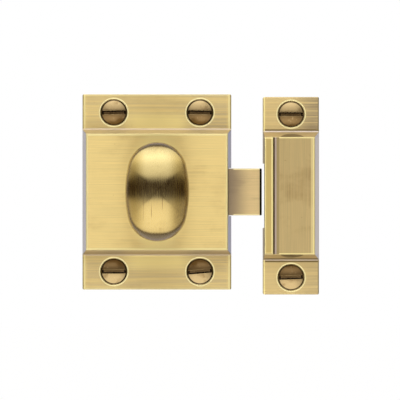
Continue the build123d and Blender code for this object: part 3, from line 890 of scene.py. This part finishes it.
def knob_head():
    """Points and faces of the domed oval head, from its tip to its rounded back."""
    outline = oval_outline()
    rings = 44
    points = [(0.0, knob_tip, 0.0)]
    for ring in range(1 - rings, rings):
        angle = ring / rings * pi / 2
        power, end = (dome_power, knob_tip) if ring < 0 else (back_power, knob_back)
        scale = cos(angle) ** (2 / power)
        level = knob_widest + abs(sin(angle)) ** (2 / power) * (end - knob_widest)
        points += [(scale * x, level, scale * z) for x, z in outline]
    points.append((0.0, knob_back, 0.0))
    count, last = len(outline), len(points) - 1
    faces = [(0, 1 + place, 1 + (place + 1) % count) for place in range(count)]
    faces += between_rings(2 * rings - 1, count, first=1)
    start = last - count
    faces += [(start + place, last, start + (place + 1) % count) for place in range(count)]
    return points, faces


def neck_profile(steps=20):
    """The neck from its collar to inside the head, waisted between them."""
    profile = [(neck_radii[0], neck_start)]
    for step in range(steps + 1):
        share = step / steps
        weights = ((1 - share) ** 3, 3 * share * (1 - share) ** 2, 3 * share ** 2 * (1 - share),
                   share ** 3)
        radius = sum(weight * value for weight, value in zip(weights, neck_radii))
        profile.append((radius, neck_collar + share * (neck_end - neck_collar)))
    return profile


def cast_knob():
    """The knob as one casting: head and neck, bored for the spindle."""
    head = new_piece("knob_head", *knob_head(), knob_brass)
    neck = new_piece("knob_neck", *revolved(neck_profile()[::-1], 96), knob_brass)
    whole = bpy.data.objects.new("knob_blank", changed(head, "UNION", neck))
    bpy.context.scene.collection.objects.link(whole)
    bore = new_piece("knob_bore", *revolved([(bore_radius, bore_end),
                                             (bore_radius, neck_start + MM)], 64), knob_brass)
    mesh = smoothed(changed(whole, "DIFFERENCE", bore), knob_brass)
    knob = bpy.data.objects.new("cast_knob", mesh)
    bpy.context.scene.collection.objects.link(knob)
    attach(knob, "knob_body")
    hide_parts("knob")


def wind_spring():
    """A compression spring of round wire with closed ends."""
    low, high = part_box("bolt_spring")
    spot = middle("bolt_spring")
    wire_radius = 0.2 * MM
    coil_radius = (high.z - low.z) / 2 - wire_radius
    coils, closed = 10, 1
    per_turn, sides = 26, 10
    closed_pitch = 2.1 * wire_radius
    room = high.x - low.x - 2 * wire_radius - 2 * closed * closed_pitch
    open_pitch = room / (coils - 2 * closed)
    points, faces = [], []
    last = coils * per_turn
    for step in range(last + 1):
        turn = step / per_turn
        opened = min(max(turn - closed, 0), coils - 2 * closed)
        along = low.x + wire_radius + opened * open_pitch + (turn - opened) * closed_pitch
        for side in range(sides):
            around = tau * side / sides
            radius = coil_radius + wire_radius * cos(around)
            points.append((along + wire_radius * sin(around), spot.y + radius * cos(tau * turn),
                           spot.z + radius * sin(tau * turn)))
    for step in range(last):
        for side in range(sides):
            a, b = step * sides + side, step * sides + (side + 1) % sides
            faces.append((a, b, b + sides, a + sides))
    faces.append(tuple(range(sides - 1, -1, -1)))
    faces.append(tuple(range(last * sides, (last + 1) * sides)))
    spring = new_piece("wound_spring", points, faces, wire_steel)
    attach(spring, "case_body")
    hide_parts("bolt_spring")
    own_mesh(spring)


# What the metal sees at each angle from straight ahead, up or down: a large light above the camera
# and one below it
LIGHTS = [(-100, (0.50, 0.47, 0.42)), (-72, (1.45, 1.36, 1.20)), (-55, (1.76, 1.67, 1.48)),
          (-25, (1.72, 1.62, 1.42)), (-5, (1.45, 1.35, 1.18)), (14, (1.05, 0.97, 0.84)),
          (34, (1.35, 1.28, 1.14)), (54, (2.05, 1.98, 1.84)), (78, (1.65, 1.60, 1.48)),
          (110, (1.30, 1.25, 1.15))]

# The dim room between the lights: the slopes of the metal, in degrees, at which its mirror image
# starts, is full, starts to fade and ends
DIM_SLOPES = (-4.5, -2.0, 5.0, 9.5)
DIM_ROOM = colour(0.05, 0.030, 0.016)

# The cool wall by how far behind the latch it is, from 0 beside it to 1 straight behind, where it
# takes over from the lights, and the warmer wall straight behind
WALL = [(0.22, (0.13, 0.10, 0.09)), (0.42, (0.24, 0.21, 0.22)), (0.60, (0.46, 0.46, 0.60)),
        (0.85, (0.57, 0.58, 0.78))]
WALL_START = (0.22, 0.32)
BACK_WALL = colour(0.97, 0.89, 0.74)
BACK_WALL_START = (0.92, 0.97)

WHITE = colour(1.0, 1.0, 1.0)


def ramp_colour(s, value, marks):
    """The colour at value, between marks of (place from 0 to 1, colour)."""
    ramp = s.add("ShaderNodeValToRGB", {0: value})
    elements = ramp.color_ramp.elements
    for element, (place, tone) in zip(elements, (marks[0], marks[-1])):
        element.position = place
        element.color = colour(*tone)
    for place, tone in marks[1:-1]:
        elements.new(place).color = colour(*tone)
    return ramp.outputs["Color"]


def studio_lights(s, x, y, z):
    """The two lights, weaker to both sides, with the dim room between them."""
    # The height of the normal that mirrors this direction to the front, so that the room's bands
    # run level across a rounded form. The sum is kept above 0.
    spread = s.math("SQRT", s.math("MULTIPLY_ADD", y, -2.0, 2.001))
    height = s.math("DIVIDE", z, spread)
    lights = ramp_colour(s, s.math("MULTIPLY_ADD", height, 0.5, 0.5),
                         [(0.5 + 0.5 * sin(radians(angle) / 2), tone) for angle, tone in LIGHTS])
    left = s.step(x, -1.0, -0.40, 0.55, 1.0)
    right = s.step(x, 0.25, 0.95, 1.0, 0.50)
    seen = s.mix(1.0, lights, s.grey(s.math("MULTIPLY", left, right)), blend="MULTIPLY")
    start, full, fade, end = (sin(radians(slope)) for slope in DIM_SLOPES)
    dim = s.both(s.step(height, start, full), s.step(height, fade, end, 1.0, 0.0))
    return s.paint(seen, dim, DIM_ROOM)


def how_far_behind(s, x, y, z):
    """How far behind the latch a direction points. The wall starts sooner below and above, and
    later at the sides."""
    aside = s.math("MULTIPLY", s.size_of(x), s.step(x, -0.1, 0.1, -0.38, -0.40))
    under = s.math("MULTIPLY", s.math("MAXIMUM", s.math("MULTIPLY", z, -1.0), 0.0), 0.55)
    over = s.math("MULTIPLY", z, 0.1)
    return s.math("ADD", s.math("ADD", y, aside), s.math("MAXIMUM", under, over))


def make_world():
    """A plain studio: white to the camera, and to the metal two large lights with a dim room
    between them and a cool wall behind."""
    world = bpy.data.worlds.new("studio")
    bpy.context.scene.world = world
    s = Shader(world)
    x, y, z = s.split(s.add("ShaderNodeTexCoord").outputs["Generated"])
    behind = how_far_behind(s, x, y, z)
    seen = studio_lights(s, x, y, z)
    seen = s.paint(seen, s.step(behind, *WALL_START), ramp_colour(s, behind, WALL))
    seen = s.paint(seen, s.step(y, *BACK_WALL_START), BACK_WALL)
    camera_ray = s.add("ShaderNodeLightPath").outputs["Is Camera Ray"]
    background = s.add("ShaderNodeBackground", {"Color": s.paint(seen, camera_ray, WHITE),
                                                "Strength": 1.0})
    output = s.add("ShaderNodeOutputWorld")
    s.tree.links.new(background.outputs[0], output.inputs["Surface"])


def make_floor():
    """A pale floor under the latch. It shows white and keeps the latch's shadow."""
    half, level = 0.9, -0.12
    corners = [(x, y, level) for x, y in ((-half, -half), (half, -half), (half, half),
                                          (-half, half))]
    s = Shader(bpy.data.materials.new("pale_floor"))
    matt = s.add("ShaderNodeBsdfDiffuse", {"Color": colour(0.93, 0.93, 0.93)})
    white = s.add("ShaderNodeEmission", {"Color": WHITE, "Strength": 1.0})
    lit = s.math("MULTIPLY", s.add("ShaderNodeLightPath").outputs["Is Camera Ray"], 0.95)
    pale = s.add("ShaderNodeMixShader", {0: lit, 1: matt.outputs[0], 2: white.outputs[0]})
    floor = new_piece("floor", corners, [(0, 1, 2, 3)], s.surface(pale.outputs[0]), smooth=False)
    floor.visible_glossy = False


# The photograph's view: straight on, from just under 55 cm, with the latch left of the lens's axis
camera_spot = (-1.67 * MM, -547 * MM, -1.04 * MM)
focal_length = 143.4
frame_shift = (0.12, -0.0125)


def make_camera():
    """The camera, level and facing the latch's front."""
    data = bpy.data.cameras.new("camera")
    data.sensor_width = 36.0
    data.lens = focal_length
    data.shift_x, data.shift_y = frame_shift
    data.clip_start = 0.01
    camera = bpy.data.objects.new("camera", data)
    camera.location = camera_spot
    camera.rotation_euler = (pi / 2, 0.0, 0.0)
    bpy.context.scene.collection.objects.link(camera)
    bpy.context.scene.camera = camera


place_wood_screws()
cast_knob()
wind_spring()
make_world()
make_floor()
make_camera()
bpy.context.scene.view_settings.view_transform = "Standard"
